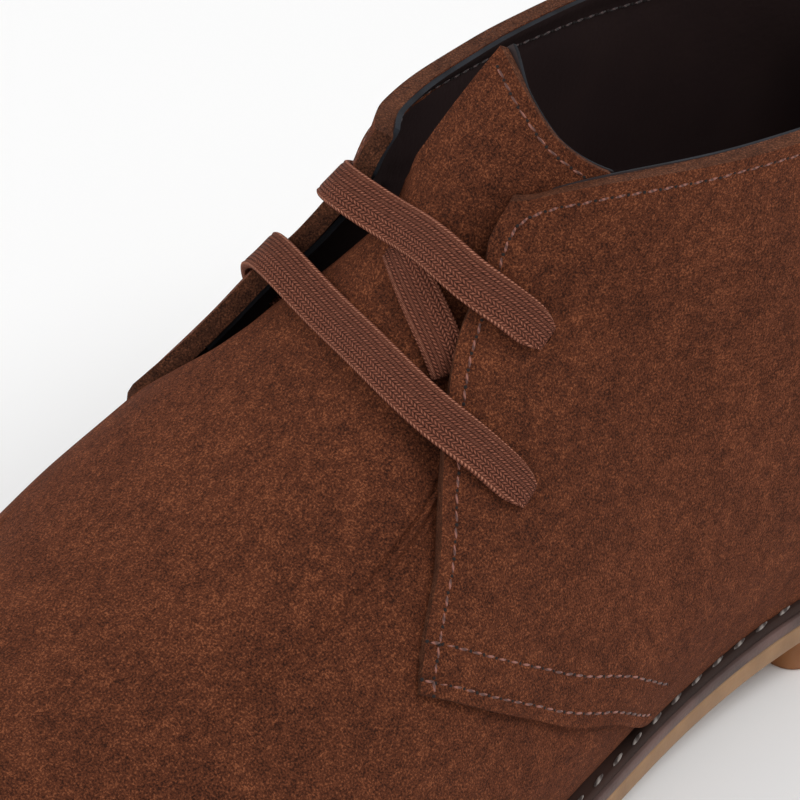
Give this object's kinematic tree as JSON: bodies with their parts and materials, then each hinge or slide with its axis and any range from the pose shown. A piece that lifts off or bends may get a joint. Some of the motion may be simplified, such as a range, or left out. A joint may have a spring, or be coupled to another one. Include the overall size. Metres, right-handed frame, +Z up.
{
  "type": "chukka boot",
  "caption": "Suede ankle boot for a left foot: hollow upper with lapped quarters, tongue, flat lace across the throat, welted sole and separate heel.",
  "frame": {"origin": "middle of the bounding box, at the floor that the boot stands on", "axes": "toe towards -Y, outer side of the left foot towards +X, +Z up"},
  "size_m": [0.1059, 0.2936, 0.1421],
  "materials": {
    "suede": "brown suede, soft nap",
    "lace": "flat woven brown lace",
    "insole": "dark smooth leather",
    "welt": "dark brown, stitched",
    "midsole": "greyed mauve edge",
    "outsole": "tan, slightly translucent edge",
    "heel_rubber": "tan to amber rubber"
  },
  "bodies": {
    "root": {"upper": "suede", "tongue": "suede", "lace": "lace", "insole": "insole", "welt": "welt", "midsole": "midsole", "outsole": "outsole", "heel": "heel_rubber"}
  },
  "joints": []
}
